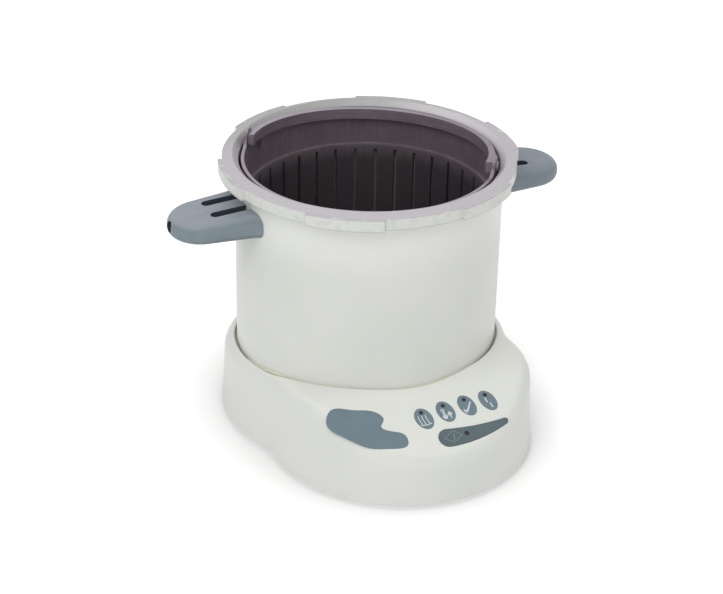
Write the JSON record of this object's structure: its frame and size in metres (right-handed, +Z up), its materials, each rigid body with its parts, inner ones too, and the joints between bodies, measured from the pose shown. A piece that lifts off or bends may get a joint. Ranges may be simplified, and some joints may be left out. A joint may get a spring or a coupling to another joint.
{
  "type": "benchtop steam autoclave",
  "caption": "Open pot autoclave: round vessel with a bayonet flange and two side handles, slotted lift-out basket with a folding handle, and a base with a sloped control panel.",
  "frame": {"origin": "bottom centre of the bounding box, on the bench under the feet", "axes": "+Z up, X along the two side handles, -Y towards the user and the control panel"},
  "size_m": [0.3924, 0.3434, 0.273],
  "materials": {
    "white_enamel": "semi-gloss white paint, bare metal on the flange top",
    "dark_anodised": "dark anodised, satin",
    "bail_metal": "satin",
    "screw_steel": "plain steel",
    "slate_plastic": "fine texture",
    "white_plastic": "satin moulding",
    "label_plastic": "smooth film",
    "key_plastic": "smooth",
    "lamp_lens": "dark unlit lens",
    "bracket_metal": "cast",
    "plate_steel": "zinc plated sheet",
    "foot_rubber": "matte",
    "heater_metal": "cast, machined top",
    "element_sheath": "heat darkened",
    "sheet_aluminium": "mill finish",
    "circuit_board": "green laminate",
    "nylon": "natural nylon",
    "black_plastic": "fine texture",
    "transformer_iron": "varnished core"
  },
  "bodies": {
    "autoclave": {"pressure_vessel": "white_enamel", "instrument_basket": "dark_anodised", "basket_pivot_pins": "bail_metal", "left_handle": "slate_plastic", "right_handle": "slate_plastic", "left_bracket": "bracket_metal", "right_bracket": "bracket_metal", "handle_bolts": "screw_steel", "base_casing": "white_plastic", "indicator_labels": "label_plastic", "nameplate": "label_plastic", "indicator_lights": "lamp_lens", "start_switch": "black_plastic", "control_board": "circuit_board", "board_spacers": "nylon", "board_screws": "screw_steel", "bottom_plate": "plate_steel", "rubber_feet": "foot_rubber", "bottom_screws": "screw_steel", "pillar_screws": "screw_steel", "support_pillars": "plate_steel", "heat_shield": "sheet_aluminium", "heater_plate": "heater_metal", "heating_element": "element_sheath", "element_terminals": "screw_steel", "heater_clamp": "plate_steel", "heater_stud": "screw_steel", "heater_nut": "screw_steel", "thermal_cutout": "sheet_aluminium", "temperature_sensor": "bail_metal", "sensor_clips": "plate_steel", "power_board": "circuit_board", "board_posts": "nylon", "transformer": "transformer_iron", "relay": "black_plastic", "terminal_block": "black_plastic", "inlet_socket": "black_plastic", "inlet_pins": "screw_steel", "inlet_screws": "screw_steel"},
    "folding_handle": {"basket_handle": "bail_metal"},
    "start_button": {"start_key": "key_plastic", "switch_plunger": "nylon"}
  },
  "joints": [
    {"name": "basket_handle_fold", "type": "hinge", "parent": "autoclave", "child": "folding_handle", "pos_m": [0, 0.03175, 0.2635], "axis": [0.8241, -0.5664, 0], "range_deg": [0, 100]},
    {"name": "start_key_press", "type": "slide", "parent": "autoclave", "child": "start_button", "axis": [0, 0.4695, -0.8829], "range_m": [0, 0.001], "stiffness_N_per_m": 500, "springref_m": -0.002}
  ]
}
